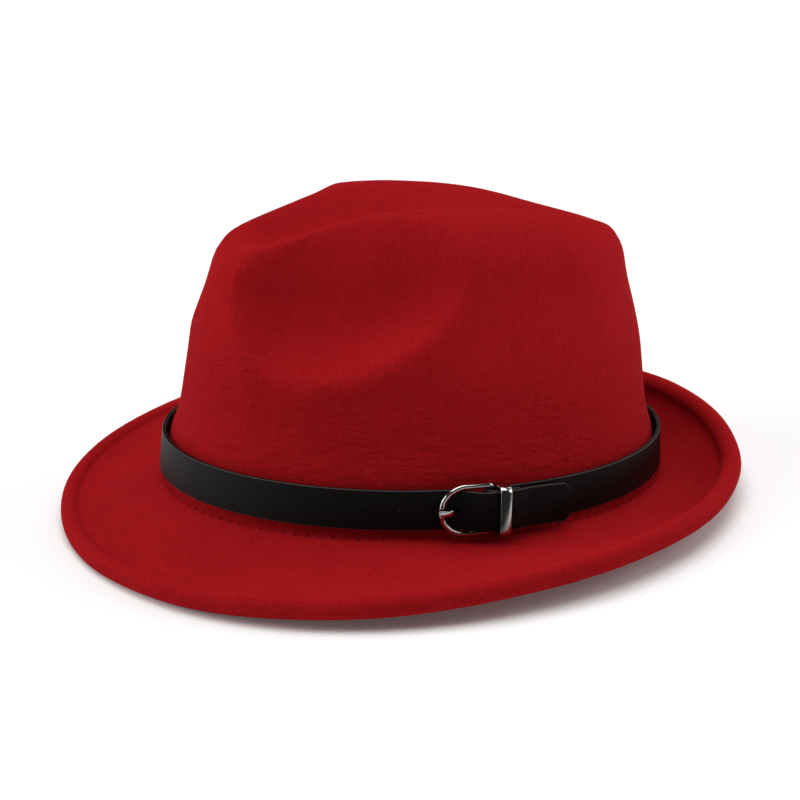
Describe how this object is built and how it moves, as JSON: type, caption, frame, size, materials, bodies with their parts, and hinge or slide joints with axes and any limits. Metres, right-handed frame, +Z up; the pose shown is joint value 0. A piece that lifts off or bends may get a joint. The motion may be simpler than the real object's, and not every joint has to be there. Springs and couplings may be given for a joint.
{
  "type": "fedora",
  "caption": "Short-brimmed wool felt fedora with a creased, pinched crown, a brim with a rolled edge turned up at the back, and a buckled leather belt as its band.",
  "frame": {"origin": "middle of the bounding box, on the surface that the hat rests on", "axes": "+Z up, -Y towards the front of the hat, +X towards the wearer's left, where the buckle is"},
  "size_m": [0.2646, 0.2706, 0.1198],
  "materials": {
    "red_felt": "matt wool felt with a short nap and a soft sheen at grazing angles",
    "black_leather": "smooth black leather with a low gloss and pale cut edges",
    "chrome": "polished chromium plating"
  },
  "bodies": {
    "root": {"hat_body": "red_felt", "belt_strap": "black_leather", "buckle_frame": "chrome", "buckle_prong": "chrome", "buckle_keeper": "chrome"}
  },
  "joints": []
}
